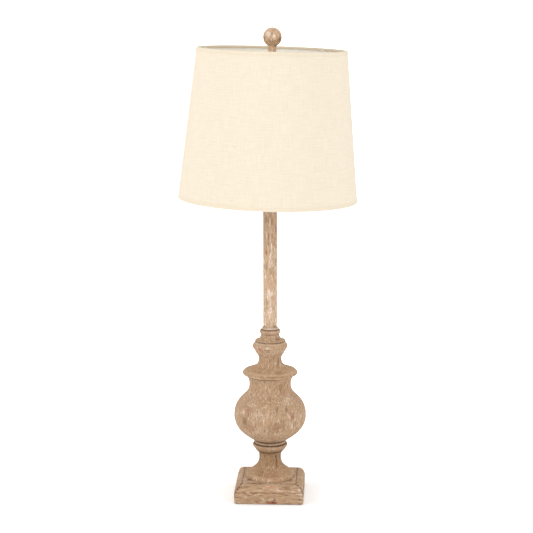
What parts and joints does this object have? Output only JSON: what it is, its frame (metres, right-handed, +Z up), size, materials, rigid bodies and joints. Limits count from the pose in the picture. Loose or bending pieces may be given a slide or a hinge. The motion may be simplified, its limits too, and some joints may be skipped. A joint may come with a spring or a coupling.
{
  "type": "candlestick lamp",
  "caption": "Tall table lamp with a turned whitewashed wood column on a square plinth, a tapered linen drum shade on a harp, and a turned ball finial.",
  "frame": {"origin": "middle of the underside, on the surface that the lamp stands on", "axes": "+Z up along the column, -Y to the front, +X to the right seen from the front"},
  "size_m": [0.3026, 0.3028, 0.8077],
  "materials": {
    "washed_wood": "distressed whitewash, matt",
    "felt": "felt",
    "raw_steel": "zinc-plated",
    "bush_plastic": "matt",
    "brass": "satin",
    "contact_brass": "bright",
    "socket_paper": "waxed",
    "socket_plastic": "moulded",
    "knob_plastic": "moulded",
    "bare_aluminium": "bright",
    "ring_wire": "white coated",
    "shade_liner": "smooth",
    "linen": "plain weave",
    "hem_cloth": "plain weave",
    "insulator_black": "glassy",
    "frosted_glass": "frosted"
  },
  "bodies": {
    "lamp": {"felt_pad": "felt", "plinth": "washed_wood", "ballast_plate": "raw_steel", "base_washer": "raw_steel", "base_nut": "raw_steel", "threaded_pipe": "raw_steel", "cord_bush": "bush_plastic", "pedestal": "washed_wood", "lower_ring": "washed_wood", "baluster": "washed_wood", "knop_section": "washed_wood", "top_collar": "washed_wood", "stem": "washed_wood", "stem_cap": "brass", "harp_saddle": "brass", "harp_wire": "brass", "harp_stud": "brass", "socket_cap": "brass", "socket_shell": "brass", "insulating_sleeve": "socket_paper", "socket_body": "socket_plastic", "screw_shell": "bare_aluminium", "centre_contact": "contact_brass", "terminal_screws": "contact_brass"},
    "shade": {"spider": "ring_wire", "top_ring": "ring_wire", "bottom_ring": "ring_wire", "shade_liner": "shade_liner", "shade_cover": "linen", "top_hem": "hem_cloth", "bottom_hem": "hem_cloth"},
    "finial_screw": {"finial_insert": "contact_brass"},
    "finial": {"finial_ball": "washed_wood"},
    "sleeve_left": {"harp_sleeve_left": "brass"},
    "sleeve_right": {"harp_sleeve_right": "brass"},
    "switch_key": {"key_shaft": "contact_brass", "switch_knob": "knob_plastic"},
    "bulb_screw": {"bulb_base": "bare_aluminium", "bulb_insulator": "insulator_black", "bulb_tip": "contact_brass"},
    "bulb": {"bulb_glass": "frosted_glass"}
  },
  "joints": [
    {"name": "shade_turn", "type": "hinge", "parent": "lamp", "child": "shade", "pos_m": [0.00286, 0, 0.75919], "axis": [0.0297, 0, 0.9996], "continuous": true},
    {"name": "finial_rise", "type": "slide", "parent": "lamp", "child": "finial_screw", "axis": [0.0297, 0, 0.9996], "range_m": [0, 0.00564]},
    {"name": "finial_turn", "type": "hinge", "parent": "finial_screw", "child": "finial", "pos_m": [0.00286, 0, 0.75919], "axis": [0.0297, 0, 0.9996], "range_deg": [0, 2160]},
    {"name": "sleeve_left_lift", "type": "slide", "parent": "lamp", "child": "sleeve_left", "axis": [0, 0, 1], "range_m": [0, 0.012]},
    {"name": "sleeve_right_lift", "type": "slide", "parent": "lamp", "child": "sleeve_right", "axis": [0, 0, 1], "range_m": [0, 0.012]},
    {"name": "switch_turn", "type": "hinge", "parent": "lamp", "child": "switch_key", "pos_m": [0, -0.021, 0.5443], "axis": [0, -1, 0], "continuous": true},
    {"name": "bulb_rise", "type": "slide", "parent": "lamp", "child": "bulb_screw", "axis": [0, 0, 1], "range_m": [0, 0.01089]},
    {"name": "bulb_turn", "type": "hinge", "parent": "bulb_screw", "child": "bulb", "pos_m": [0, 0, 0.58], "axis": [0, 0, 1], "range_deg": [0, 1080]}
  ],
  "couplings": [
    {"joint": "finial_turn", "follows": "finial_rise", "rad_per_m": 6679},
    {"joint": "bulb_rise", "follows": "bulb_turn", "m_per_rad": 0.0005775}
  ]
}
